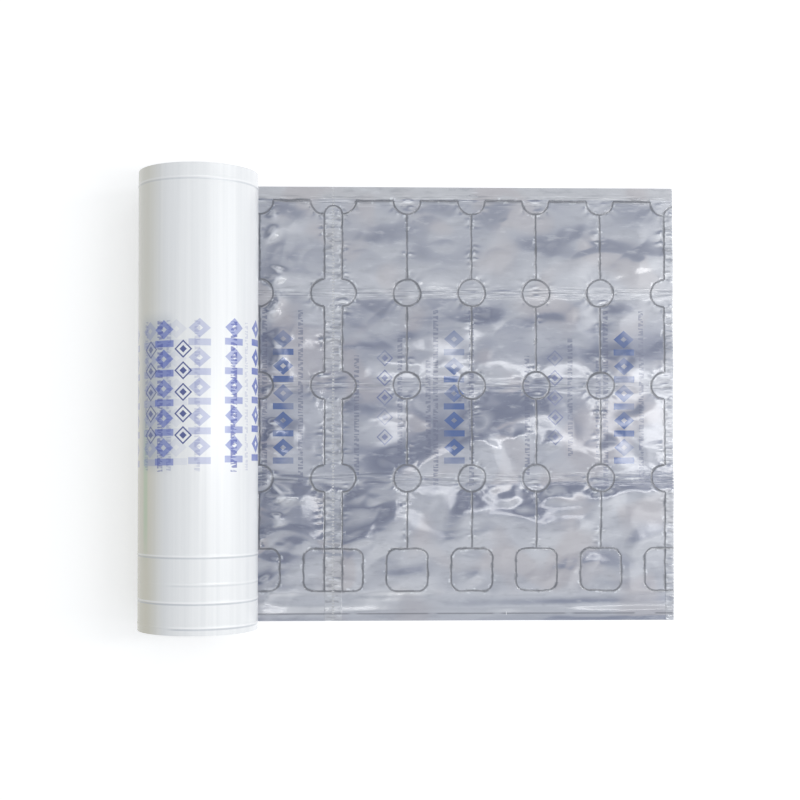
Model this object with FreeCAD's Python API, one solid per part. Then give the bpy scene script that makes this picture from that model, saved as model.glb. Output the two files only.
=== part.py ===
import FreeCAD, Part
import math
import os

# A roll of air-cushion film, lying on its side with its loose end laid out flat on the surface beside it.
# The film is one continuous two-ply web: wound in turns on a cardboard core tube, then running out from
# under the roll. Weld lines join the two plies into columns of cells, and a row of cuts parts the sheets.
# +X runs from the roll to the film's free end, +Y along the roll, +Z up. The origin is on the surface,
# under the middle of the whole object.

# The web and the roll, in millimetres
web_width = 400.0
loose_length = 434.0
roll_diameter = 105.0
flat_spot_depth = 0.6
core_bore = 50.0
core_wall = 4.0
core_overhang = 1.0

# The film's thickness as it lies: pressed flat at a weld, slack between welds, highest in mid cell
weld_thickness = 0.3
island_thickness = 0.8
cell_thickness = 1.5
crown_height = 1.7
crown_slope = 8.0
crown_clearance = 1.0
weld_width = 2.0

# The weld pattern of one sheet
sheet_length = 315.0
cells_per_sheet = 5
double_line_gap = 16.5
closing_weld_inset = 12.5
row_pitch = 85.5
ring_radius = 12.5
pad_width = 38.0
pad_height = 39.0
pad_corner = 10.0
pad_foot_inset = 27.5
foot_weld_inset = 6.5
selvedge = 1.0

# The row of cuts between two sheets
cut_pitch = 12.0
cut_length = 7.5
cut_width = 0.8

# The ridges where welds that run along the web build up in the turns
ridge_height = 0.4
ridge_width = 3.0

# The turns that show on each end of the roll
turn_pitch = 7.0
turn_groove_width = 1.6
turn_groove_depth = 0.8
turn_land = 1.6

# How far the roll's underside stands above the loose film's cells where they begin
nip_clearance = 2.0

# How far a tool shape reaches past what it cuts
over = 5.0

# Sizes worked out from the ones above
half_width = web_width / 2
roll_radius = roll_diameter / 2
roll_reach = roll_radius + ridge_height
core_outer_radius = core_bore / 2 + core_wall
axis_x = (roll_reach - loose_length) / 2
axis_z = roll_radius - flat_spot_depth
free_end_x = axis_x + loose_length
nip_height = cell_thickness + crown_height + nip_clearance
nip_x = axis_x + math.sqrt(roll_reach ** 2 - (axis_z - nip_height) ** 2)
cell_length = (sheet_length - double_line_gap) / cells_per_sheet
half_gap = double_line_gap / 2
closing_weld_y = half_width - closing_weld_inset
foot_weld_y = foot_weld_inset - half_width
pad_bottom_y = pad_foot_inset - half_width
pad_mid_y = pad_bottom_y + pad_height / 2
pad_top_y = pad_bottom_y + pad_height
row_count = int((closing_weld_y - pad_top_y - 2 * ring_radius) / row_pitch)
row_ys = [closing_weld_y - row * row_pitch for row in range(1, row_count + 1)]
ring_reach = ring_radius + weld_width / 2
crown_inset = (ring_reach + crown_clearance) / math.sqrt(2)


def box(x0, x1, y0, y1, z0, z1):
    """A block between two corners."""
    return Part.makeBox(x1 - x0, y1 - y0, z1 - z0, FreeCAD.Vector(x0, y0, z0))


def rectangle(x0, x1, y0, y1):
    """A flat rectangle in the XY plane."""
    return Part.makePlane(x1 - x0, y1 - y0, FreeCAD.Vector(x0, y0, 0))


def disc(x, y, radius):
    """A flat disc in the XY plane."""
    circle = Part.makeCircle(radius, FreeCAD.Vector(x, y, 0))
    return Part.Face(Part.Wire([circle]))


def rounded_rectangle(x0, x1, y0, y1, radius):
    """A flat rectangle with round corners in the XY plane."""
    corners = [disc(x, y, radius) for x in (x0 + radius, x1 - radius) for y in (y0 + radius, y1 - radius)]
    wide = rectangle(x0, x1, y0 + radius, y1 - radius)
    tall = rectangle(x0 + radius, x1 - radius, y0, y1)
    return wide.fuse([tall] + corners).removeSplitter()


def frustum(low, high):
    """A solid between two outlines of as many corners, one above the other, with flat sides."""
    faces = [Part.Face(Part.makePolygon(outline + outline[:1])) for outline in (low, high)]
    for corner in range(len(low)):
        following = (corner + 1) % len(low)
        side = [low[corner], low[following], high[following], high[corner], low[corner]]
        faces.append(Part.Face(Part.makePolygon(side)))
    return Part.makeSolid(Part.makeShell(faces))


def join(shapes):
    """One shape from several that touch or overlap."""
    return shapes[0].fuse(shapes[1:]).removeSplitter()


def perforation_places():
    """The X of each row of cuts on the loose film, from the free end back to the roll."""
    places = []
    x = free_end_x
    while x > nip_x:
        places.append(x)
        x -= sheet_length
    return places


def single_line_places():
    """The X of each single weld line, between one double line and the next."""
    places = []
    for perforation in perforation_places():
        for cell in range(1, cells_per_sheet):
            places.append(perforation - half_gap - cell * cell_length)
    return [x for x in places if x > axis_x]


def weld_lines():
    """Every straight weld on the loose film, as flat shapes. The islands lie over them where they cross."""
    half = weld_width / 2
    lines = [rectangle(nip_x, free_end_x, y - half, y + half) for y in (foot_weld_y, closing_weld_y)]
    lines += [rectangle(x - half, x + half, pad_mid_y, closing_weld_y) for x in single_line_places()]
    return lines


def pad(x, width):
    """The flat square pad near the web's foot that a weld line ends in."""
    return rounded_rectangle(x - width / 2, x + width / 2, pad_bottom_y, pad_top_y, pad_corner)


def double_line(x):
    """The flat strip beside a row of cuts. It swells into an oval at each row of rings and at the top."""
    strip = rectangle(x - half_gap, x + half_gap, pad_mid_y, closing_weld_y + weld_width / 2)
    discs = [disc(x + side * half_gap, y, ring_reach) for side in (-1, 1) for y in [closing_weld_y] + row_ys]
    return [strip, pad(x, pad_width + double_line_gap)] + discs


def islands():
    """The parts that stay flat inside their welds: rings, pads, double lines and the two selvedges."""
    shapes = [rectangle(nip_x, free_end_x, closing_weld_y + weld_width / 2, half_width - selvedge)]
    shapes.append(rectangle(nip_x, free_end_x, selvedge - half_width, foot_weld_y - weld_width / 2))
    for x in single_line_places():
        shapes += [disc(x, y, ring_reach) for y in [closing_weld_y] + row_ys]
        shapes.append(pad(x, pad_width))
    for x in perforation_places():
        shapes += double_line(x)
    return join(shapes)


def pillows():
    """The loose film between its straight welds: slack in the columns of cells, flatter on the islands."""
    sheet = rectangle(nip_x, free_end_x - selvedge, selvedge - half_width, half_width - selvedge)
    flat = islands()
    columns = sheet.cut([flat] + weld_lines())
    slack = [face.extrude(FreeCAD.Vector(0, 0, cell_thickness)) for face in columns.Faces]
    pressed = [face.extrude(FreeCAD.Vector(0, 0, island_thickness)) for face in sheet.common(flat).Faces]
    return slack + pressed


def crown(x0, x1, y0, y1):
    """The low crown of one cell: its sides slope in to a smaller flat top."""
    outlines = []
    for inset, z in ((0, cell_thickness), (crown_slope, cell_thickness + crown_height)):
        left, right, front, back = x0 + inset, x1 - inset, y0 + inset, y1 - inset
        corners = [(left, front), (right, front), (right, back), (left, back)]
        outlines.append([FreeCAD.Vector(x, y, z) for x, y in corners])
    return frustum(outlines[0], outlines[1])


def crowns():
    """A crown on each whole cell, between the weld lines and between the rows of rings."""
    tops = [y - crown_inset for y in [closing_weld_y] + row_ys]
    feet = [y + crown_inset for y in row_ys] + [pad_top_y + weld_width / 2 + crown_clearance]
    solids = []
    for perforation in perforation_places():
        for cell in range(cells_per_sheet):
            right = perforation - half_gap - cell * cell_length
            left = max(right - cell_length, nip_x)
            if right - left > 2 * (crown_inset + crown_slope):
                x0, x1 = left + crown_inset, right - crown_inset
                solids += [crown(x0, x1, foot, top) for foot, top in zip(feet, tops)]
    return solids


def perforation_cuts():
    """Short slots through the web at each row of cuts. The free end keeps the half of each slot that tore."""
    count = int(web_width / cut_pitch) - 1
    first = -(count - 1) * cut_pitch / 2
    half_length, half_cut = cut_length / 2, cut_width / 2
    cuts = []
    for x in perforation_places():
        for number in range(count):
            y = first + number * cut_pitch
            cuts.append(box(x - half_cut, x + half_cut, y - half_length, y + half_length, -over, over))
    return cuts


def loose_film():
    """The web from under the roll to its free end."""
    web = box(axis_x, free_end_x, -half_width, half_width, 0, weld_thickness)
    return join([web] + pillows() + crowns()).cut(perforation_cuts())


def spiral(y, offset, half_turns):
    """Half circles from two centres that wind outwards through the turns, offset outwards."""
    arcs = []
    for half_turn in range(half_turns):
        radius = core_outer_radius + turn_land + offset + half_turn * turn_pitch / 2
        upper = half_turn % 2 == 0
        way = 1 if upper else -1
        centre = FreeCAD.Vector(axis_x if upper else axis_x + turn_pitch / 2, y, axis_z)
        ends = [centre + FreeCAD.Vector(way * radius, 0, 0), centre - FreeCAD.Vector(way * radius, 0, 0)]
        arcs.append(Part.Arc(ends[0], centre + FreeCAD.Vector(0, 0, way * radius), ends[1]).toShape())
    return arcs


def turn_groove(y, depth):
    """The spiral step between turns on one end of the roll, from y inwards along Y by depth."""
    half_turns = int(2 * (roll_radius - core_outer_radius - 2 * turn_land) / turn_pitch)
    inner = spiral(y, 0, half_turns)
    outer = spiral(y, turn_groove_width, half_turns)
    start = Part.makeLine(inner[0].Vertexes[0].Point, outer[0].Vertexes[0].Point)
    finish = Part.makeLine(inner[-1].Vertexes[-1].Point, outer[-1].Vertexes[-1].Point)
    outline = Part.Wire(Part.sortEdges(inner + outer + [start, finish])[0])
    return Part.Face(outline).extrude(FreeCAD.Vector(0, depth, 0))


def wound_film():
    """The turns on the core: turned round the roll's axis, with a ridge over each weld along the web."""
    profile = [(core_outer_radius, -half_width), (roll_radius, -half_width)]
    for y in (foot_weld_y, pad_top_y, closing_weld_y):
        profile.append((roll_radius, y - ridge_width / 2))
        profile.append((roll_reach, y))
        profile.append((roll_radius, y + ridge_width / 2))
    profile += [(roll_radius, half_width), (core_outer_radius, half_width)]
    points = [FreeCAD.Vector(axis_x + radius, y, axis_z) for radius, y in profile + profile[:1]]
    half_section = Part.Face(Part.makePolygon(points))
    turned = half_section.revolve(FreeCAD.Vector(axis_x, 0, axis_z), FreeCAD.Vector(0, 1, 0), 360)
    reach_x, reach_y = roll_reach + over, half_width + over
    under = box(axis_x - reach_x, axis_x + reach_x, -reach_y, reach_y, -roll_reach, 0)
    grooves = [turn_groove(-half_width, turn_groove_depth), turn_groove(half_width, -turn_groove_depth)]
    return turned.cut([under] + grooves)


def film_web():
    """The whole film: its turns and its loose end are one piece."""
    return join([wound_film(), loose_film()])


def core_tube():
    """The cardboard tube that the film is wound on, a little longer than the web is wide."""
    length = web_width + 2 * core_overhang
    base = FreeCAD.Vector(axis_x, -length / 2, axis_z)
    along = FreeCAD.Vector(0, 1, 0)
    tube = Part.makeCylinder(core_outer_radius, length, base, along)
    return tube.cut(Part.makeCylinder(core_bore / 2, length, base, along))


def main():
    os.makedirs("parts", exist_ok=True)
    for name, shape in {"film_web": film_web(), "core_tube": core_tube()}.items():
        shape.exportStep(f"parts/{name}.step")
        print(name, "solids", len(shape.Solids), "valid", shape.isValid(), "volume", round(shape.Volume, 1))
    print("axis", axis_x, axis_z, "free end", free_end_x, "nip", round(nip_x, 3), "rings in a row", row_count)


main()
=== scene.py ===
import math

import bpy
import numpy as np
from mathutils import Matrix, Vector, noise
from mathutils.bvhtree import BVHTree
from mathutils.geometry import delaunay_2d_cdt


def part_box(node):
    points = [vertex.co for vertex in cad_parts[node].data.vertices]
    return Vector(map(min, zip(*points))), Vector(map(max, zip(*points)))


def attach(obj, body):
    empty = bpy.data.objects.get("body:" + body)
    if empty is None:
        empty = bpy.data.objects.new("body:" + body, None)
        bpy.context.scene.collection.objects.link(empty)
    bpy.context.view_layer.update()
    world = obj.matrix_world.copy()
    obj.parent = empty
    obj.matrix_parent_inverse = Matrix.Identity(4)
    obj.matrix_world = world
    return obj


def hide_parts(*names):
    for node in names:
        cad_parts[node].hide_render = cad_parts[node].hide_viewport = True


# The looks of a roll of un-inflated air-cushion film. The loose film is two plies of thin, slack, crumpled
# film, joined by narrow welds. The roll is the same film in hundreds of turns on a cardboard core.
# Lengths that belong to the film are in millimetres, and MM turns them into the frame's metres.

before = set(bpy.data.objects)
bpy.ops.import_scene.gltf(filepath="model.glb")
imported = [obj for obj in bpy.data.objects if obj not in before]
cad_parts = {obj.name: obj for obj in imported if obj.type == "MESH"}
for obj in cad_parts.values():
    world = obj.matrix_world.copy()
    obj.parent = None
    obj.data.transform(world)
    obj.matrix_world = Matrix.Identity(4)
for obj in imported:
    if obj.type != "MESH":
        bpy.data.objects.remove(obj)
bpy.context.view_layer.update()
MM = 0.001

# Sizes that come from the frame
film_low, film_high = (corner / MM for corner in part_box("film_web"))
core_low, core_high = (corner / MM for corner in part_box("core_tube"))
FREE_X = film_high.x
HALF_WIDTH = film_high.y
AXIS_X = (core_low.x + core_high.x) / 2
AXIS_Z = (core_low.z + core_high.z) / 2
CORE_RADIUS = (core_high.z - core_low.z) / 2
RIDGE = 0.4
ROLL_RADIUS = film_high.z - AXIS_Z - RIDGE

# The weld pattern, as on the part
SHEET = 315.0
DOUBLE_GAP = 16.5
HALF_GAP = DOUBLE_GAP / 2
CELLS = 5
CELL = (SHEET - DOUBLE_GAP) / CELLS
WELD_HALF = 0.85
RING = 12.5
ROW = 85.5
ROWS = 3
CLOSING_Y = HALF_WIDTH - 12.5
PAD_HALF_WIDTH = 19.0
PAD_HALF_HEIGHT = 19.5
PAD_CORNER = 9.0
PAD_Y = PAD_HALF_HEIGHT + 27.5 - HALF_WIDTH
FOOT_Y = 6.5 - HALF_WIDTH
FAR = 1000.0

# How the loose film lies, from the surface up
PLY_FLOOR = 0.15
WELD_LEVEL = 0.45
GRID_STEP = 1.2
LOWER_STEP = 3.0
ON_WELD = 0.4
PLACES_TRIED = 60000
PLACES_OFF_WELD = 9000

# Repeats of the print and the cuts
BOLD_STEP = 25.0
MARK_STEP = 18.2
CUT_STEP = 2.9
PRINT_REPEAT = SHEET / 2

# Colours that return in the film: a painted glint that is also the white of the cuts, and the painted highlight and
# shade along creases
GLINT_AND_CUT_WHITE = (0.95, 0.96, 0.98)
CREASE_HIGHLIGHT = (0.80, 0.82, 0.87)
CREASE_SHADE = (0.17, 0.19, 0.24)


class Value:
    """One number or vector in a material's nodes, with the operators that its maths uses."""

    def __init__(self, nodes, socket):
        self.nodes = nodes
        self.socket = socket

    def __add__(self, other):
        return self.nodes.math("ADD", self, other)

    def __radd__(self, other):
        return self.nodes.math("ADD", other, self)

    def __sub__(self, other):
        return self.nodes.math("SUBTRACT", self, other)

    def __rsub__(self, other):
        return self.nodes.math("SUBTRACT", other, self)

    def __mul__(self, other):
        return self.nodes.math("MULTIPLY", self, other)

    def __rmul__(self, other):
        return self.nodes.math("MULTIPLY", other, self)

    def __truediv__(self, other):
        return self.nodes.math("DIVIDE", self, other)


class Nodes:
    """The nodes of a new material, or of a tree that is given, and what is added to them."""

    def __init__(self, name, tree=None):
        self.material = None
        self.tree = tree
        if tree is None:
            self.material = bpy.data.materials.new(name)
            self.material.use_nodes = True
            self.tree = self.material.node_tree
            self.tree.nodes.clear()

    def node(self, kind, settings=None, **inputs):
        """Adds a node: its settings first, then the values or links of its sockets, by name or by in0, in1."""
        made = self.tree.nodes.new(kind)
        for name, value in (settings or {}).items():
            setattr(made, name, value)
        for name, value in inputs.items():
            key = int(name[2:]) if name[:2] == "in" and name[2:].isdigit() else name.replace("_", " ")
            if isinstance(value, Value):
                self.tree.links.new(value.socket, made.inputs[key])
            else:
                made.inputs[key].default_value = value
        return made

    def value(self, kind, output, settings=None, **inputs):
        """Adds a node and gives one of its outputs."""
        return Value(self, self.node(kind, settings, **inputs).outputs[output])

    def math(self, operation, first, second=0.0):
        return self.value("ShaderNodeMath", 0, {"operation": operation}, in0=first, in1=second)

    def absolute(self, a):
        return self.math("ABSOLUTE", a)

    def least(self, a, b):
        return self.math("MINIMUM", a, b)

    def most(self, a, b):
        return self.math("MAXIMUM", a, b)

    def nearest(self, a):
        return self.math("ROUND", a)

    def above(self, a, b):
        return self.math("GREATER_THAN", a, b)

    def length(self, a, b):
        return self.math("SQRT", a * a + b * b)

    def part_of_turn(self, a):
        """The part after the whole number."""
        return self.math("FRACT", a)

    def ramp(self, a, low, high):
        """0 up to low, 1 from high, with a smooth rise between. It falls where high is the lower."""
        settings = {"interpolation_type": "SMOOTHSTEP"}
        if high > low:
            return self.value("ShaderNodeMapRange", 0, settings, Value=a, From_Min=low, From_Max=high)
        rise = self.value("ShaderNodeMapRange", 0, settings, Value=a, From_Min=high, From_Max=low)
        return 1.0 - rise

    def place(self):
        """The object's X, Y and Z, in millimetres."""
        coordinates = self.value("ShaderNodeTexCoord", "Object")
        split = self.node("ShaderNodeSeparateXYZ", Vector=coordinates)
        return [Value(self, split.outputs[axis]) * (1 / MM) for axis in "XYZ"]

    def vector(self, x, y, z=0.0):
        return self.value("ShaderNodeCombineXYZ", 0, in0=x, in1=y, in2=z)

    def cloud(self, where, scale, detail=2.0, roughness=0.5, distortion=0.0):
        """Soft noise from 0 to 1."""
        return self.value("ShaderNodeTexNoise", "Fac", Vector=where, Scale=scale, Detail=detail,
                          Roughness=roughness, Distortion=distortion)

    def mix(self, factor, first, second):
        """A colour between two colours."""
        node = self.node("ShaderNodeMix", {"data_type": "RGBA"}, Factor=factor)
        for index, colour in ((6, first), (7, second)):
            if isinstance(colour, Value):
                self.tree.links.new(colour.socket, node.inputs[index])
            else:
                node.inputs[index].default_value = (*colour, 1.0)
        return Value(self, node.outputs[2])

    def tones(self, a, low, high, stops):
        """Colours along a range of numbers: each stop is a number and the colour there."""
        node = self.node("ShaderNodeValToRGB", None, Fac=(a - low) / (high - low))
        ramp = node.color_ramp
        while len(ramp.elements) < len(stops):
            ramp.elements.new(0.5)
        for element, (at, colour) in zip(ramp.elements, stops):
            element.position = (at - low) / (high - low)
            element.color = (*colour, 1.0)
        return Value(self, node.outputs["Color"])

    def finish(self, shader):
        """Connects a shader to the material's output, and gives the material."""
        output = self.node("ShaderNodeOutputMaterial")
        self.tree.links.new(shader.outputs[0], output.inputs["Surface"])
        return self.material


class Arrays:
    """The same few operations on arrays of numbers, so that one description serves mesh and material."""

    absolute = staticmethod(np.abs)
    least = staticmethod(np.minimum)
    most = staticmethod(np.maximum)
    nearest = staticmethod(np.round)
    length = staticmethod(np.hypot)

    @staticmethod
    def above(a, b):
        return np.where(a > b, 1.0, 0.0)


def weld_lines(m, x, y):
    """How far a place on the loose film is from the middle of the nearest weld, and from the row of cuts.
    m holds the operations: Nodes for a material, Arrays for a mesh."""
    along = FREE_X - x
    cuts = m.absolute(along - SHEET * m.nearest(along / SHEET))
    beside = cuts - HALF_GAP
    line = m.least(m.most(m.nearest(beside / CELL), 0.0), CELLS // 2)
    dx = beside - line * CELL
    single = m.above(line, 0.5)
    outside = m.most(single, m.above(dx, 0.0))
    row = m.least(m.most(m.nearest((CLOSING_Y - y) / ROW), 0.0), ROWS)
    dy = y - CLOSING_Y + row * ROW
    at_top = m.above(0.5, row)
    from_ring = m.length(dx, dy)
    beyond_ring = m.above(from_ring, RING)
    ring = m.absolute(from_ring - RING) + FAR * (1.0 - outside) + FAR * at_top * m.above(dy, 0.0)
    pad_top = PAD_Y + PAD_HALF_HEIGHT
    below_top = m.above(CLOSING_Y - RING + 0.5, y)
    line_end = pad_top - 2 * PAD_HALF_HEIGHT * (1.0 - single)
    straight = m.absolute(dx) + FAR * (1.0 - beyond_ring * below_top * m.above(y, line_end))
    across = m.absolute(dx * single + cuts * (1.0 - single)) - HALF_GAP * (1.0 - single)
    corner_x = across - (PAD_HALF_WIDTH - PAD_CORNER)
    corner_y = m.absolute(y - PAD_Y) - (PAD_HALF_HEIGHT - PAD_CORNER)
    round_part = m.length(m.most(corner_x, 0.0), m.most(corner_y, 0.0))
    pad = m.absolute(round_part + m.least(m.most(corner_x, corner_y), 0.0) - PAD_CORNER)
    past_scallop = m.above(m.absolute(dx), RING) * outside
    closing = m.absolute(y - CLOSING_Y) + FAR * (1.0 - past_scallop)
    arch_y = CLOSING_Y - RING - 1.0
    arch = m.absolute(m.length(cuts, y - arch_y) - HALF_GAP) + FAR * m.above(arch_y, y)
    nearest = m.least(m.least(ring, straight), m.least(pad, closing))
    return m.least(nearest, arch), cuts, dx, dy


def select_only(piece):
    """Makes one object the active one and the only one selected."""
    bpy.ops.object.select_all(action="DESELECT")
    piece.select_set(True)
    bpy.context.view_layer.objects.active = piece


def grid(name, x0, x1, y0, y1, step):
    """A flat grid between two corners, named and in place. Gives it and its points in millimetres."""
    bpy.ops.object.select_all(action="DESELECT")
    columns = round((x1 - x0) / step)
    rows = round((y1 - y0) / step)
    bpy.ops.mesh.primitive_grid_add(x_subdivisions=columns, y_subdivisions=rows, size=1)
    piece = bpy.context.object
    piece.name = piece.data.name = name
    points = read_points(piece)
    points[:, 0] = x0 + (points[:, 0] + 0.5) * (x1 - x0)
    points[:, 1] = y0 + (points[:, 1] + 0.5) * (y1 - y0)
    return piece, points


def read_points(piece):
    """An object's points, one to a row, as its mesh holds them."""
    points = np.empty(len(piece.data.vertices) * 3, np.float32)
    piece.data.vertices.foreach_get("co", points)
    return points.reshape(-1, 3).astype(float)


def write_points(piece, points):
    """Moves an object's points to places given in millimetres."""
    piece.data.vertices.foreach_set("co", (points * MM).astype(np.float32).ravel())
    piece.data.update()


def smooth_faces(piece):
    piece.data.polygons.foreach_set("use_smooth", [True] * len(piece.data.polygons))
    piece.data.update()


def fold_points(draw, spread, clear):
    """Random places for the corners of the folds: some on the welds, the others well away from them."""
    x = draw.uniform(AXIS_X, FREE_X, PLACES_TRIED)
    y = draw.uniform(-HALF_WIDTH, HALF_WIDTH, PLACES_TRIED)
    places = np.stack([x, y], 1)
    from_weld, _, dx, dy = weld_lines(Arrays, x, y)
    on_weld = from_weld < ON_WELD
    round_ring = np.hypot(dx, dy) < RING + 1
    spacing = np.where(on_weld, np.where(round_ring, 8.0, 16.0), spread)
    spacing *= draw.uniform(0.75, 1.45, PLACES_TRIED)
    off_weld = np.flatnonzero(from_weld > clear)[:PLACES_OFF_WELD]
    kept = []
    for number in np.concatenate([np.flatnonzero(on_weld), off_weld]):
        near = places[kept] - places[number]
        if not kept or (near ** 2).sum(1).min() > spacing[number] ** 2:
            kept.append(number)
    return places[kept], from_weld[kept]


def fold_surface(seed, spread, clear, rise):
    """The slack film as flat facets between random corners: low at the welds, higher in mid cell."""
    draw = np.random.default_rng(seed)
    places, from_weld = fold_points(draw, spread, clear)
    slack = np.clip(from_weld / 14.0, 0.0, 1.0)
    calm = np.clip((places[:, 1] - PAD_Y + PAD_HALF_HEIGHT + 12) / 14.0, 0.15, 1.0)
    calm *= np.clip((CLOSING_Y + 2 - places[:, 1]) / 6.0, 0.1, 1.0)
    lifts = (0.25 + rise * draw.random(len(places)) ** 1.4 * slack) * calm
    heights = np.where(from_weld < ON_WELD, 0.0, lifts)
    border = []
    for x in np.linspace(AXIS_X - 2, FREE_X + 2, 40):
        border += [(x, HALF_WIDTH + 2), (x, -HALF_WIDTH - 2)]
    for y in np.linspace(-HALF_WIDTH, HALF_WIDTH, 60):
        border += [(AXIS_X - 2, y), (FREE_X + 2, y)]
    level = np.concatenate([heights, np.zeros(len(border))])
    everywhere = [Vector(p) for p in places.tolist() + border]
    corners, _, faces, origin = delaunay_2d_cdt(everywhere, [], [], 0, 0.001)[:4]
    lifted = [Vector((c.x, c.y, level[origin[i][0]])) for i, c in enumerate(corners)]
    return BVHTree.FromPolygons(lifted, faces)


WIDE_FOLDS = fold_surface(11, 24.0, 8.0, 3.0)
SMALL_FOLDS = fold_surface(12, 8.0, 2.5, 0.9)


def height_on(folds, points):
    """How high the facets lie under each point."""
    down = Vector((0, 0, -1))
    return np.array([folds.ray_cast(Vector((u, v, 50)), down)[0].z for u, v in points[:, :2]])


def blurred(rows, passes):
    """A height grid with its creases softened."""
    for _ in range(passes):
        padded = np.pad(rows, 1, mode="edge")
        rows = (padded[1:-1, 1:-1] * 4 + padded[:-2, 1:-1] + padded[2:, 1:-1]
                + padded[1:-1, :-2] + padded[1:-1, 2:]) / 8
    return rows


def softened(rows, reach):
    """A height grid that is soft over a distance in millimetres."""
    return blurred(rows, int((reach / GRID_STEP) ** 2 * 4))


def noise_at(a, b, seed):
    """Soft noise from about -1 to 1 at each pair of numbers."""
    return np.array([noise.noise(Vector((u, v, seed))) for u, v in zip(a, b)])


# The film's main swells, seen from above: how far back from the free end and at which Y each crest
# starts and ends, how far it reaches, and how steep its back is
SWELLS = ((385, -176, 262, -116, 30, 1.1), (262, -76, 184, -38, 25, 1.05), (187, -26, 120, -15, 22, 1.0),
          (190, -103, 126, -110, 18, 1.1), (128, -100, 66, -94, 15, 0.8), (66, -87, 0, -84, 12, 1.0),
          (126, 135, 0, 133, 14, 1.1), (247, 121, 187, 128, 22, 0.45), (300, 136, 245, 148, 14, 0.5),
          (305, 46, 248, 50, 8, 0.9), (66, 39, 0, 45, 14, 1.0), (381, 104, 322, 122, 20, 0.6),
          (375, 10, 330, 2, 10, 0.6), (128, 70, 64, 64, 10, 0.5), (120, -60, 60, -44, 14, 0.45),
          (300, -150, 240, -162, 10, 0.8), (90, -148, 40, -156, 9, 0.7))


def swell(x, y, start_back, start_y, end_back, end_y, reach, steepness):
    """One long low wave: it falls steeply at its back, towards +Y, and gently at its front."""
    start = np.array([FREE_X - start_back, start_y], float)
    way = np.array([FREE_X - end_back, end_y], float) - start
    length = np.hypot(*way)
    along = ((x - start[0]) * way[0] + (y - start[1]) * way[1]) / length
    across = (way[0] * (y - start[1]) - way[1] * (x - start[0])) / length
    fade = 0.35 * length
    ends = np.clip((along + fade) / fade, 0.0, 1.0) * np.clip((length + fade - along) / fade, 0.0, 1.0)
    ends = ends * ends * (3 - 2 * ends)
    profile = np.where(across > 0, np.exp(-(across / reach) ** 2), np.exp(-(across / (2.0 * reach)) ** 2))
    return 0.105 * reach * steepness * ends * profile


def film_waves(x, y):
    """Low waves of both plies together, right across the welds. None goes below the surface."""
    bent_x = x + 22 * noise_at(x / 90, y / 90, 31.0)
    bent_y = y + 16 * noise_at(x / 80, y / 80, 37.0)
    waves = 1.3 * noise_at((bent_x * 0.9 + bent_y * 0.5) / 130, (bent_y - bent_x * 0.12) / 58, 4.2)
    waves += 0.7 * noise_at(bent_x / 55, bent_y / 30, 9.7)
    waves *= np.clip((105.0 - y) / 70.0, 0.3, 1.0)
    slow_x = x + 9 * noise_at(x / 45, y / 45, 41.0)
    slow_y = y + 9 * noise_at(x / 38, y / 38, 47.0)
    for row in SWELLS:
        waves += swell(slow_x, slow_y, *row)
    inside = np.clip((HALF_WIDTH + y) / 30.0, 0.0, 1.0)
    inside = 0.15 + 0.85 * inside * inside * (3 - 2 * inside)
    under = np.clip((x - AXIS_X - 24) / 16.0, 0.0, 1.0)
    return np.maximum(waves + 1.2, 0.0) * inside * under


def cell_folds(points, columns):
    """The slack of the upper ply in each cell: soft swells, with crisp creases in some places."""
    x, y = points[:, 0], points[:, 1]
    facets = height_on(WIDE_FOLDS, points).reshape(-1, columns)
    small = height_on(SMALL_FOLDS, points).reshape(-1, columns)
    near_pads = np.clip((-95.0 - y) / 40.0, 0.0, 1.0)
    near_roll = np.exp(-((x - AXIS_X - 68.0) / 15.0) ** 2)
    crumpled = 0.5 * near_pads + 0.8 * near_roll
    crisp_here = np.clip(0.25 + crumpled + 1.7 * noise_at(x / 50, y / 36, 3.1), 0.0, 1.3)
    small_here = np.clip(0.05 + 1.2 * crumpled + 1.9 * noise_at(x / 42, y / 24, 71.0), 0.0, 1.2)
    creases = (blurred(facets, 2) - softened(facets, 2.6)).ravel() * crisp_here
    swells = softened(facets, 5.0).ravel()
    crumples = softened(small, 1.2).ravel() * small_here
    return 0.6 * swells + 0.9 * creases + 0.85 * crumples


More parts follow.
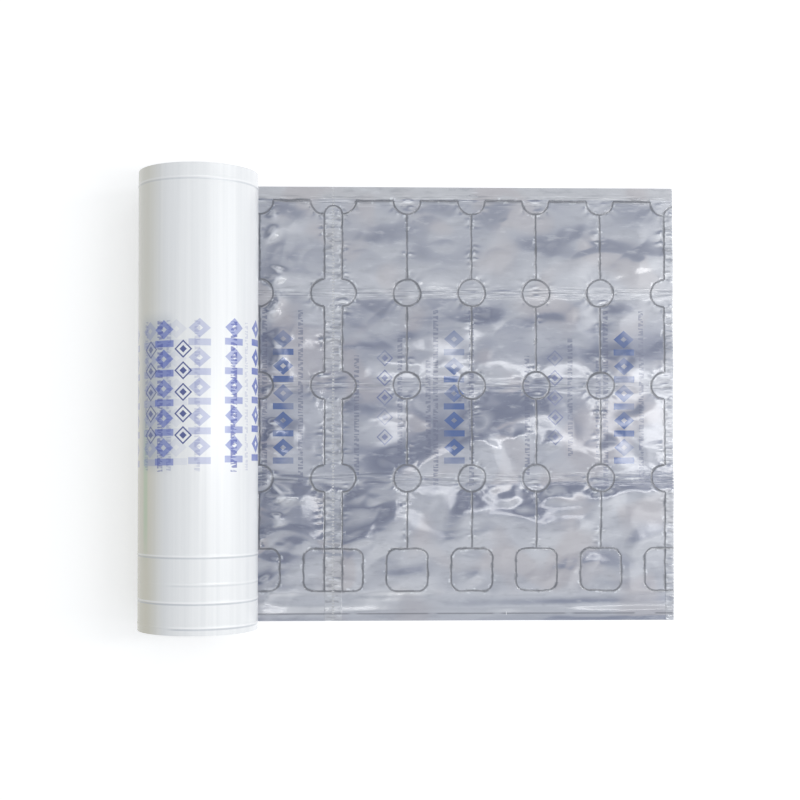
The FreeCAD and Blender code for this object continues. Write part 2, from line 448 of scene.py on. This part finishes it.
def film_heights(points, columns):
    """How high the upper ply lies at each point of a grid, in millimetres."""
    x, y = points[:, 0], points[:, 1]
    waves = film_waves(x, y)
    heights = waves + WELD_LEVEL + cell_folds(points, columns)
    from_weld, cuts, dx, dy = weld_lines(Arrays, x, y)
    off_weld = np.maximum(from_weld - WELD_HALF, 0.0)
    slack = 1.0 - np.exp(-off_weld / 9.0)
    inside = np.clip((HALF_WIDTH - 13 - np.abs(y)) / 20.0, 0.0, 1.0)
    below_pads = np.clip((PAD_Y - PAD_HALF_HEIGHT - 1 - y) / 4.0, 0.0, 1.0)
    heights += 0.75 * noise_at(x / 160, y / 10, 14.0) * (1.0 - inside) * below_pads
    # Narrow pleats run along the rows of rings, and short puckers stand square to the welds
    pleats = 0.3 * noise_at(x / 34, y / 2.8, 21.0) * np.exp(-(dy / 4.5) ** 2) * slack
    beside_line = np.exp(-(np.abs(dx) / 6.0) ** 2) * np.clip(off_weld / 1.5, 0.0, 1.0)
    beside_line *= y > PAD_Y + PAD_HALF_HEIGHT
    patches = np.clip(noise_at(x / 25, y / 16, 51.0) * 2.5, 0.0, 1.0)
    puckers = 0.7 * noise_at(x / 16, y / 3.3, 27.0) * beside_line * patches
    reach = np.abs(np.hypot(dx, dy) - RING)
    rays = noise_at(np.arctan2(dy, dx) * 3.6, dx * 0.05 + x * 0.01, 63.0) * np.exp(-reach / 3.5)
    outside = np.where(np.hypot(dx, dy) > RING, 1.0, 0.2) * (y < CLOSING_Y - 1)
    puckers += 0.6 * rays * outside * np.clip(off_weld / 1.5, 0.0, 1.0)
    in_strip = np.clip((HALF_GAP - cuts) / 2.0, 0.0, 1.0) * np.clip((np.abs(dy) - RING) / 2.0, 0.0, 1.0)
    crinkles = 0.27 * noise_at(x / 14, y / 3.4, 33.0) * in_strip * (y < CLOSING_Y - RING)
    heights += pleats + puckers + crinkles
    # Beside the roll the film rises in a low wave before it passes under
    from_roll = x - AXIS_X
    crest = 66 + 12.0 * noise_at(y / 40, y * 0, 7.7) + 7.0 * noise_at(y / 13, y * 0, 8.8)
    broken = np.clip(0.35 + 2.2 * noise_at(x / 60, y / 15, 5.5), 0.0, 1.0)
    wave = 1.7 * np.exp(-((from_roll - crest) / 6.0) ** 2) * broken
    heights += np.maximum(wave, 0.0) * (0.3 + 0.7 * slack) * inside
    under = np.clip((from_roll - 24) / 12.0, 0.0, 1.0)
    heights = WELD_LEVEL + (heights - WELD_LEVEL) * under
    return np.maximum(heights, waves + WELD_LEVEL - 0.15)


def upper_ply(name, x0, x1):
    """One sheet's upper ply, or what shows of it."""
    piece, points = grid(name, x0, x1, -HALF_WIDTH, HALF_WIDTH, GRID_STEP)
    columns = round((x1 - x0) / GRID_STEP) + 1
    points[:, 2] = film_heights(points, columns)
    write_points(piece, points)
    smooth_faces(piece)
    rows = points[:, 2].reshape(-1, columns)
    edges = ((rows - blurred(rows, 3)) / 0.10).astype(np.float32)
    piece.data.attributes.new("fold_edge", "FLOAT", "POINT").data.foreach_set("value", edges.ravel())
    return piece


def lower_ply():
    """The ply that lies on the surface, from under the roll to the free end."""
    piece, points = grid("film_lower_ply", AXIS_X, FREE_X, -HALF_WIDTH, HALF_WIDTH, LOWER_STEP)
    points[:, 2] = PLY_FLOOR + film_waves(points[:, 0], points[:, 1])
    write_points(piece, points)
    smooth_faces(piece)
    return piece


# Ridges round the roll, where welds lie on one another turn after turn: their Y and their height
ROLL_RIDGES = ((FOOT_Y, 0.4), (PAD_Y - PAD_HALF_HEIGHT, 0.4), (PAD_Y - 4, 0.15),
               (PAD_Y + PAD_HALF_HEIGHT, 0.35), (CLOSING_Y, 0.25))


def roll_turns():
    """The wound turns: a grid bent round the core, with ridges along it and a spiral step on each end."""
    ring_count = 256
    end_steps = 44
    turn_pitch = 1.9
    stations = [np.linspace(-HALF_WIDTH, HALF_WIDTH, 100)]
    stations += [np.arange(ridge_y - 3.5, ridge_y + 3.6, 0.5) for ridge_y, _ in ROLL_RIDGES]
    stations = np.unique(np.round(np.concatenate(stations), 2))
    length_steps = len(stations) - 1
    bpy.ops.object.select_all(action="DESELECT")
    profile_count = 2 * end_steps + length_steps + 1
    bpy.ops.mesh.primitive_grid_add(x_subdivisions=profile_count, y_subdivisions=ring_count, size=1)
    piece = bpy.context.object
    piece.name = piece.data.name = "film_roll_turns"
    points = read_points(piece)
    step = np.round((points[:, 0] + 0.5) * profile_count).astype(int) % profile_count
    turn = (points[:, 1] + 0.5) % 1.0
    radius = np.full(len(points), ROLL_RADIUS)
    y = np.zeros(len(points))
    front = step <= end_steps
    back = step >= end_steps + length_steps
    out = (ROLL_RADIUS - CORE_RADIUS) / end_steps
    radius[front] = CORE_RADIUS + step[front] * out
    y[front] = -HALF_WIDTH
    radius[back] = ROLL_RADIUS - (step[back] - end_steps - length_steps) * out
    y[back] = HALF_WIDTH
    side = ~front & ~back
    y[side] = stations[step[side] - end_steps]
    rim = np.clip((ROLL_RADIUS - radius) / 1.2, 0.0, 1.0)
    angle = 2 * math.pi * turn
    for end, sign in ((front, -1), (back, 1)):
        wound = radius[end] / turn_pitch - sign * turn[end]
        bundle = np.array([noise.noise(Vector((w * 0.9, 0.3 * sign, 0.5))) for w in wound])
        y[end] += sign * (0.55 * bundle - 0.25) * rim[end]
    for ridge_y, height in ROLL_RIDGES:
        radius[side] += height * np.exp(-((y[side] - ridge_y) / 1.0) ** 2)
    lumps = np.array([noise.noise(Vector((math.cos(a) * 2.2, math.sin(a) * 2.2, v / 130.0)))
                      for a, v in zip(angle, y)])
    radius += np.where(side, 0.16 * lumps, 0.0)
    points[:, 0] = AXIS_X + radius * np.sin(angle)
    points[:, 1] = y
    points[:, 2] = np.maximum(AXIS_Z + radius * np.cos(angle), WELD_LEVEL + 0.1)
    write_points(piece, points)
    select_only(piece)
    bpy.ops.object.mode_set(mode="EDIT")
    bpy.ops.mesh.select_all(action="SELECT")
    bpy.ops.mesh.remove_doubles(threshold=0.00001)
    bpy.ops.mesh.normals_make_consistent(inside=False)
    bpy.ops.object.mode_set(mode="OBJECT")
    bpy.ops.object.shade_smooth_by_angle(angle=math.radians(40))
    return piece


def bold_print(m, across, y):
    """Ink of a bold column of lozenges and bars, about 19 mm wide."""
    step = m.part_of_turn(y / BOLD_STEP + 0.25)
    from_middle = m.absolute(across) / 19.5 + m.absolute(step - 0.62) * 1.45
    lozenge = m.ramp(from_middle, 0.50, 0.46)
    hollow = m.ramp(from_middle, 0.13, 0.16)
    bar = m.ramp(m.absolute(step - 0.14), 0.125, 0.105) * m.ramp(m.absolute(across), 9.7, 9.3)
    return m.most(lozenge * hollow, bar) * m.above(y, -56.0) * m.above(69.0, y)


def small_marks(m, across, y):
    """Ink of a column of five small outlined lozenges with a dark middle."""
    small = m.absolute(m.part_of_turn(y / MARK_STEP + 0.209) - 0.5) * MARK_STEP + m.absolute(across)
    outline = m.ramp(m.absolute(small - 6.9), 1.05, 0.6) + m.ramp(small, 3.4, 2.9)
    return m.least(outline, 1.0) * m.above(y, -40.2) * m.above(50.8, y)


def dash_row(m, across, y, half_width, seed):
    """Ink of a row of small dashes, like fine print from afar."""
    dashes = m.ramp(m.cloud(m.vector(y * 0.46, across * 0.11, seed), 1.0, 1.0), 0.46, 0.52)
    return m.ramp(m.absolute(across), half_width + 0.3, half_width - 0.3) * dashes


def grey_tone(level, blue):
    """A grey with some blue in it, given as it looks on a screen from 0 to 255, as a material's colour."""
    seen = (level - blue * 0.45, level - blue * 0.2, level + blue * 0.65)
    return tuple((part / 255.0) ** 2.2 for part in seen)


# Painted reflection: the tones the film's colour takes as it tilts, standing for what it mirrors, from leaning
# forward to leaning back: the tilt, its grey and its blue
FILM_REFLECTION_TONES = ((-0.24, 200, 9), (-0.17, 218, 6), (-0.12, 189, 10), (-0.08, 198, 10), (-0.04, 187, 12),
              (-0.012, 175, 13), (0.018, 165, 16), (0.036, 150, 20), (0.06, 130, 24), (0.09, 118, 27),
              (0.115, 143, 20), (0.15, 173, 14), (0.19, 137, 22), (0.25, 111, 26))


# Rows of fine print in each repeat: how far along, and from which Y to which
FINE_ROWS = ((30.0, -76.0, 86.0), (63.0, -76.0, 86.0), (70.0, -50.0, 40.0), (96.0, -50.0, 60.0),
             (136.0, -66.0, 44.0))


def film_material():
    """Slack, glossy film: painted reflections, highlights and shade that follow its folds and creases, dark welds
    and blue print on both plies.
    """
    m = Nodes("slack film")
    x, y = m.place()[:2]
    where = m.vector(x, y)
    wobble = (m.cloud(where, 0.06, 1.0) - 0.5) * 2.2
    sway = (m.cloud(m.vector(x, y, 90.0), 0.09, 1.0) - 0.5) * 1.6
    from_weld, cuts, dx, dy = weld_lines(m, x + sway, y + wobble)
    facing = m.node("ShaderNodeSeparateXYZ", Vector=m.value("ShaderNodeNewGeometry", "Normal"))
    tilt_x = Value(m, facing.outputs[0])
    tilt_y = Value(m, facing.outputs[1])
    # The film's colour is painted reflection and shade, picked by how each facet tilts
    leaning = tilt_y * 0.9 - tilt_x * 0.3
    stops = [(tilt, grey_tone(level, blue)) for tilt, level, blue in FILM_REFLECTION_TONES]
    colour = m.tones(leaning, FILM_REFLECTION_TONES[0][0], FILM_REFLECTION_TONES[-1][0], stops)
    # Painted highlight: the flank of the low wave beside the roll that faces +X is mixed towards white
    bright = m.ramp(tilt_x, 0.08, 0.30) * m.ramp(x, AXIS_X + 108.0, AXIS_X + 62.0)
    broken = 0.25 + m.ramp(m.cloud(m.vector(x, y, 60.0), 0.055, 3.0, 0.65), 0.42, 0.62) * 0.6
    colour = m.mix(bright * broken, colour, (0.80, 0.815, 0.85))
    selvedge = m.ramp(y, CLOSING_Y + 0.5, CLOSING_Y + 2.0)
    colour = m.mix(selvedge * 0.8, colour, (0.535, 0.545, 0.575))
    # Painted shade and painted highlights of fine crinkles, in thin horizontal streaks
    fine = m.cloud(m.vector(x * 0.05, y * 0.16), 1.0, 3.0, 0.6)
    colour = m.mix(m.ramp(fine, 0.50, 0.75) * 0.35, colour, (0.22, 0.235, 0.28))
    colour = m.mix(m.ramp(fine, 0.46, 0.25) * 0.35, colour, (0.70, 0.72, 0.77))
    # A warm tint in patches of the painted reflection, on facets that lean little
    warm_reflection_tint = m.ramp(m.cloud(where, 0.017, 1.0, distortion=0.5), 0.50, 0.64) * m.ramp(leaning, 0.06, 0.02)
    colour = m.mix(warm_reflection_tint * 0.45, colour, (0.455, 0.42, 0.44))
    top_row = m.ramp(y, 78.0, 100.0) * m.above(CLOSING_Y, y)
    colour = m.mix(top_row * 0.18, colour, (0.62, 0.635, 0.67))
    printed = m.ramp(m.absolute(y), 84.0, 58.0)
    colour = m.mix(printed * 0.16, colour, (0.19, 0.22, 0.33))
    below_pads = m.ramp(y, PAD_Y - PAD_HALF_HEIGHT, PAD_Y - PAD_HALF_HEIGHT - 6.0)
    colour = m.mix(below_pads * 0.28, colour, (0.27, 0.30, 0.38))
    # Painted shade and painted highlights of the narrow pleats along the rows of rings; the same noise also raises
    # them as bumps
    streaks = m.cloud(m.vector(x * 0.04, y * 0.8), 1.0, 2.0)
    by_row = m.ramp(m.absolute(dy), 8.0, 1.5)
    colour = m.mix(m.ramp(streaks, 0.52, 0.66) * by_row * 0.5, colour, (0.16, 0.18, 0.22))
    colour = m.mix(m.ramp(streaks, 0.42, 0.30) * by_row * 0.6, colour, (0.80, 0.82, 0.86))
    # Painted highlight along the ridges of the folds and painted shade along their valleys
    edge = m.value("ShaderNodeAttribute", "Fac", {"attribute_name": "fold_edge"})
    colour = m.mix(m.ramp(edge, 0.12, 0.75) * 0.7, colour, CREASE_HIGHLIGHT)
    colour = m.mix(m.ramp(edge, -0.10, -0.7) * 0.6, colour, CREASE_SHADE)
    in_strip = m.ramp(cuts, HALF_GAP, HALF_GAP - 1.0) * m.ramp(m.absolute(dy), RING, RING + 1.0)
    in_strip = in_strip * m.above(CLOSING_Y - RING, y)
    colour = m.mix(in_strip * 0.35, colour, (0.52, 0.54, 0.58))
    # Painted shade and painted highlights of the crinkles in the strip between two sheets; the same noise also
    # gives them bumps
    ticks = m.cloud(m.vector(x * 0.10, y * 0.25), 1.0, 1.0)
    colour = m.mix(in_strip * m.ramp(ticks, 0.56, 0.66) * 0.45, colour, (0.17, 0.18, 0.21))
    colour = m.mix(in_strip * m.ramp(ticks, 0.42, 0.32) * 0.45, colour, (0.70, 0.72, 0.77))
    inked = 0.45 + m.ramp(m.cloud(where, 0.03, 1.0), 0.40, 0.60) * 0.5
    in_repeat = m.part_of_turn((FREE_X - x) / PRINT_REPEAT) * PRINT_REPEAT
    ink = bold_print(m, in_repeat - 46.0, y)
    colour = m.mix(ink * inked, colour, (0.045, 0.105, 0.31))
    colour = m.mix(small_marks(m, in_repeat - 110.0, y) * inked * 0.8, colour, (0.09, 0.12, 0.30))
    rows = 0.0
    for at, low, high in FINE_ROWS:
        row = dash_row(m, in_repeat - at, y, 2.3, at)
        rows = row * m.above(y, low) * m.above(high, y) + rows
    colour = m.mix(rows * 0.62, colour, (0.13, 0.15, 0.24))
    # Painted glints: small near-white spots close to the welds
    weld_glints = m.ramp(from_weld, 4.0, 1.4) * m.ramp(m.cloud(where, 0.13, 2.0, 0.7), 0.57, 0.70)
    colour = m.mix(weld_glints * 0.7, colour, (0.84, 0.87, 0.93))
    shade = m.ramp(from_weld, 2.4, 1.0) * m.ramp(m.cloud(m.vector(x, y, 40.0), 0.13, 2.0), 0.52, 0.62)
    colour = m.mix(shade * 0.5, colour, (0.16, 0.175, 0.21))
    between = m.above(m.absolute(dx), RING) * m.above(cuts, HALF_GAP)
    thick = m.ramp(m.absolute(y + wobble - CLOSING_Y + 0.4), 2.3, 0.9) * between
    colour = m.mix(thick * 0.45, colour, (0.15, 0.16, 0.19))
    weld = m.ramp(from_weld, WELD_HALF + 0.45, WELD_HALF - 0.3)
    heavy = 0.38 + m.cloud(m.vector(x, y, 20.0), 0.09, 2.0) * 0.85
    colour = m.mix(weld * heavy, colour, (0.115, 0.125, 0.15))
    gaps = m.cloud(m.vector(x * 0.03, 0.0), 1.0, 0.0)
    foot = m.ramp(m.absolute(y - FOOT_Y), 0.9, 0.5)
    colour = m.mix(foot * m.ramp(gaps, 0.35, 0.4) * 0.6, colour, (0.13, 0.14, 0.165))
    # Painted glints here and there along the foot weld
    here_and_there = m.ramp(m.cloud(m.vector(x * 0.2, 3.0), 1.0), 0.66, 0.70)
    foot_glints = m.ramp(m.absolute(y - FOOT_Y), 1.9, 1.2) * here_and_there
    colour = m.mix(foot_glints, colour, GLINT_AND_CUT_WHITE)
    dots = perforation(m, cuts, y)
    colour = m.mix(dots, colour, GLINT_AND_CUT_WHITE)
    relief = m.ramp(from_weld, 0.0, 1.3) * 0.25 + ticks * in_strip * 0.5 + streaks * by_row * 0.4
    bump = m.value("ShaderNodeBump", 0, None, Strength=0.8, Distance=0.001, Height=relief)
    shader = m.node("ShaderNodeBsdfPrincipled", None, Base_Color=colour, Roughness=0.11, IOR=1.7,
                    Alpha=0.92 - dots * 0.7, Normal=bump)
    return m.finish(shader)


def perforation(m, cuts, y):
    """The row of small cuts between two sheets."""
    dots = m.ramp(m.absolute(m.part_of_turn(y / CUT_STEP) - 0.5), 0.26, 0.16)
    return dots * m.ramp(cuts, 1.25, 0.85)


def lower_film_material():
    """The ply that lies on the surface: the same film, smooth and hazy."""
    m = Nodes("lower film")
    x, y = m.place()[:2]
    haze = m.cloud(m.vector(x, y), 0.03, 2.0)
    colour = m.mix(haze, (0.42, 0.44, 0.48), (0.60, 0.62, 0.66))
    shader = m.node("ShaderNodeBsdfPrincipled", None, Base_Color=colour, Roughness=0.3, IOR=1.5, Alpha=0.7)
    return m.finish(shader)


# The print of the outer turns on the roll: how far round from the top each column lies, and its strength.
# A row of dashes has its half width before its strength.
BOLD_TURNS = ((-26.0, 0.8), (-42.0, 0.30), (-14.0, 0.12), (6.0, 0.42), (37.5, 0.68), (70.0, 0.9), (-72.0, 0.5),
              (112.0, 0.6))
MARK_TURNS = ((-41.0, 0.65), (-8.0, 0.92), (88.0, 0.6), (-95.0, 0.6))
DASH_TURNS = ((-30.0, 3.0, 0.6), (-21.0, 2.2, 0.3), (4.0, 2.4, 0.22), (37.0, 3.4, 0.75), (52.0, 2.2, 0.2),
              (-47.0, 2.2, 0.3))


def roll_material():
    """Many turns of clear film look milky white, with painted sheen streaks, painted light on the right flank,
    painted shade and a painted colour fringe on the left. The print of the outer turns shows through, fainter
    inwards.
    """
    m = Nodes("wound film")
    x, y, z = m.place()
    side = x - AXIS_X
    up = z - AXIS_Z
    radius = m.length(side, up)
    angle = m.math("ARCTAN2", side, up)
    around = angle * ROLL_RADIUS
    on_side = m.ramp(radius, ROLL_RADIUS - 1.6, ROLL_RADIUS - 1.0)
    # Painted sheen: axial streaks, lighter and darker round the roll; the same noise gives a faint bump
    streak = m.cloud(m.vector(around * 0.22, y * 0.003), 1.0, 2.0)
    colour = m.mix(streak, (0.76, 0.775, 0.79), (0.91, 0.915, 0.92))
    # Painted light: the roll's right flank is made lighter
    colour = m.mix(m.ramp(angle, 0.95, 1.35) * 0.85, colour, (0.93, 0.935, 0.945))
    # Painted shade with a warm tint on the roll's left flank, stronger towards -Y
    left_shade_tint = m.ramp(angle, -0.40, -0.95) * (0.7 + m.ramp(y, 60.0, -80.0) * 0.3)
    colour = m.mix(left_shade_tint, colour, (0.72, 0.69, 0.58))
    # A painted colour fringe of reflected light: a greenish line along the roll's left flank
    line = m.ramp(m.absolute(angle + 0.93), 0.10, 0.02) * m.ramp(m.absolute(y + 75.0), 75.0, 25.0)
    colour = m.mix(line * 0.6, colour, (0.50, 0.66, 0.46))
    through = m.ramp(m.absolute(around + 36.0), 24.0, 12.0) * m.ramp(m.absolute(y - 5.0), 72.0, 52.0)
    colour = m.mix(through * 0.45, colour, (0.30, 0.36, 0.47))
    # Along each ridge: a painted shade line below it and a painted highlight line above it
    for ridge_y, height in ROLL_RIDGES:
        across = y - ridge_y
        broken = m.ramp(m.cloud(m.vector(around * 0.012, ridge_y), 1.0, 0.0), 0.30, 0.42)
        shown = broken * on_side * (height * 1.6)
        colour = m.mix(m.ramp(m.absolute(across + 1.3), 1.1, 0.3) * shown, colour, (0.50, 0.53, 0.58))
        colour = m.mix(m.ramp(m.absolute(across - 0.4), 1.0, 0.3) * shown, colour, (0.97, 0.97, 0.98))
    for at, strength in BOLD_TURNS:
        patchy = 0.7 + m.cloud(m.vector(around, y, at), 0.05, 1.0) * 0.6
        ink = bold_print(m, around - at, y - at * 0.04)
        colour = m.mix(ink * on_side * strength * patchy, colour, (0.17, 0.22, 0.56))
    for at, strength in MARK_TURNS:
        colour = m.mix(small_marks(m, around - at, y) * on_side * strength, colour, (0.025, 0.05, 0.24))
    for at, half_width, strength in DASH_TURNS:
        row = dash_row(m, around - at, y, half_width, at) * m.above(y, -62.0) * m.above(66.0, y)
        colour = m.mix(row * on_side * strength, colour, (0.06, 0.09, 0.38))
    turns = m.cloud(m.vector(radius * 2.6 + angle * 0.4, 0.0), 1.0, 3.0, 0.7)
    ends = m.mix(m.ramp(turns, 0.35, 0.65), (0.50, 0.53, 0.57), (0.80, 0.82, 0.84))
    colour = m.mix(on_side, ends, colour)
    relief = turns * (1.0 - on_side) * 0.5 + streak * on_side * 0.06
    bump = m.value("ShaderNodeBump", 0, None, Strength=0.7, Distance=0.001, Height=relief)
    rough = 0.45 - on_side * 0.25
    shader = m.node("ShaderNodeBsdfPrincipled", None, Base_Color=colour, Roughness=rough, IOR=1.5, Normal=bump)
    return m.finish(shader)


def core_material():
    """Brown spiral-wound board, with the plies' seams running round it and fibres along them."""
    m = Nodes("spiral board")
    x, y, z = m.place()
    side = x - AXIS_X
    up = z - AXIS_Z
    angle = m.math("ARCTAN2", side, up)
    winding = y + angle * 12.0
    seam = m.ramp(m.absolute(m.part_of_turn(winding / 75.4) - 0.5), 0.012, 0.004)
    fibres = m.cloud(m.vector(winding * 0.9, angle * 6.0, m.length(side, up) * 1.2), 1.0, 4.0, 0.65)
    colour = m.mix(fibres, (0.23, 0.15, 0.085), (0.42, 0.29, 0.175))
    colour = m.mix(seam * 0.6, colour, (0.11, 0.07, 0.04))
    bump = m.value("ShaderNodeBump", 0, None, Strength=0.5, Distance=0.001, Height=fibres * 0.3 - seam * 0.4)
    shader = m.node("ShaderNodeBsdfPrincipled", None, Base_Color=colour, Roughness=0.85, Normal=bump)
    return m.finish(shader)


def finish_piece(piece, material):
    """Gives a film piece its material and says what it is part of."""
    piece.data.materials.clear()
    piece.data.materials.append(material)
    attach(piece, "root")
    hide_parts("film_web")


def add_camera():
    """The photograph's camera: above, a little left of the middle and to its front, tilted and shifted slightly."""
    place = Vector((AXIS_X + 111.8, -50.0, 1228.0))
    lens = bpy.data.cameras.new("camera")
    lens.lens = 59.95
    lens.sensor_width = 36.0
    lens.shift_x = 0.05
    lens.shift_y = 0.04
    lens.clip_start = 0.01
    lens.clip_end = 50.0
    camera = bpy.data.objects.new("camera", lens)
    camera.location = place * MM
    camera.rotation_euler = (math.radians(1.1), math.radians(-1.49), 0.0)
    bpy.context.scene.collection.objects.link(camera)
    bpy.context.scene.camera = camera


def add_lamp(name, place, target, width, length, power):
    """A soft rectangular lamp that faces a point."""
    light = bpy.data.lights.new(name, "AREA")
    light.shape = "RECTANGLE"
    light.size = width
    light.size_y = length
    light.energy = power
    lamp = bpy.data.objects.new(name, light)
    lamp.location = place
    lamp.rotation_euler = (Vector(target) - Vector(place)).to_track_quat("-Z", "Y").to_euler()
    bpy.context.scene.collection.objects.link(lamp)


def seen_rays(m):
    """1 for rays that show the background: to the camera, mirrored or through something clear."""
    path = m.node("ShaderNodeLightPath")
    camera = Value(m, path.outputs["Is Camera Ray"])
    glossy = Value(m, path.outputs["Is Glossy Ray"])
    clear = Value(m, path.outputs["Is Transmission Ray"])
    return m.most(m.most(camera, glossy), clear)


def add_floor():
    """A pale floor that is white to the eye and keeps the object's shadow."""
    bpy.ops.object.select_all(action="DESELECT")
    bpy.ops.mesh.primitive_plane_add(size=8.0, location=(0, 0, 0))
    floor = bpy.context.object
    floor.name = "floor"
    m = Nodes("studio floor")
    seen = seen_rays(m)
    x, y = m.place()[:2]
    lift = 0.35 + m.ramp(m.length(x, y), 600.0, 2500.0) * 0.2
    diffuse = m.node("ShaderNodeBsdfDiffuse", None, Color=(0.86, 0.86, 0.86, 1.0))
    glow = m.node("ShaderNodeEmission", None, Color=(1.0, 1.0, 1.0, 1.0), Strength=seen * lift)
    both = m.node("ShaderNodeAddShader")
    m.tree.links.new(diffuse.outputs[0], both.inputs[0])
    m.tree.links.new(glow.outputs[0], both.inputs[1])
    floor.data.materials.append(m.finish(both))


def add_world():
    """A faint cool fill from all sides, which is plain white where it is seen."""
    world = bpy.data.worlds.new("studio")
    world.use_nodes = True
    w = Nodes("studio", world.node_tree)
    background = w.tree.nodes["Background"]
    seen = seen_rays(w)
    level = 0.58 + seen * 0.42
    colour = w.mix(seen, (0.94, 0.97, 1.0), (1.0, 1.0, 1.0))
    w.tree.links.new(level.socket, background.inputs["Strength"])
    w.tree.links.new(colour.socket, background.inputs["Color"])
    bpy.context.scene.world = world


def add_lamps():
    """A large softbox and three strips that draw bright lines on the roll and the film."""
    add_lamp("right softbox", (1.15, 0.1, 1.05), (0.0, 0.0, 0.0), 0.9, 1.6, 8.0)
    add_lamp("roll strip", (0.66, 0.0, 1.25), (-0.19, 0.0, 0.05), 0.11, 1.5, 3.0)
    add_lamp("back strip", (0.1, 0.85, 1.1), (0.0, 0.0, 0.0), 1.2, 0.07, 1.6)
    add_lamp("front strip", (0.25, -0.8, 1.2), (0.0, 0.0, 0.0), 1.0, 0.06, 1.2)


def main():
    """Makes the pieces, says what they stand for, and sets up the camera and the studio."""
    film = film_material()
    first = upper_ply("film_upper_first_sheet", FREE_X - SHEET, FREE_X)
    second = upper_ply("film_upper_second_sheet", AXIS_X, FREE_X - SHEET)
    lower = lower_ply()
    roll = roll_turns()
    finish_piece(first, film)
    finish_piece(second, film)
    finish_piece(lower, lower_film_material())
    finish_piece(roll, roll_material())
    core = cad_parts["core_tube"]
    core.data.materials.clear()
    core.data.materials.append(core_material())
    add_camera()
    add_floor()
    add_world()
    add_lamps()
    bpy.context.scene.view_settings.view_transform = "Standard"


main()
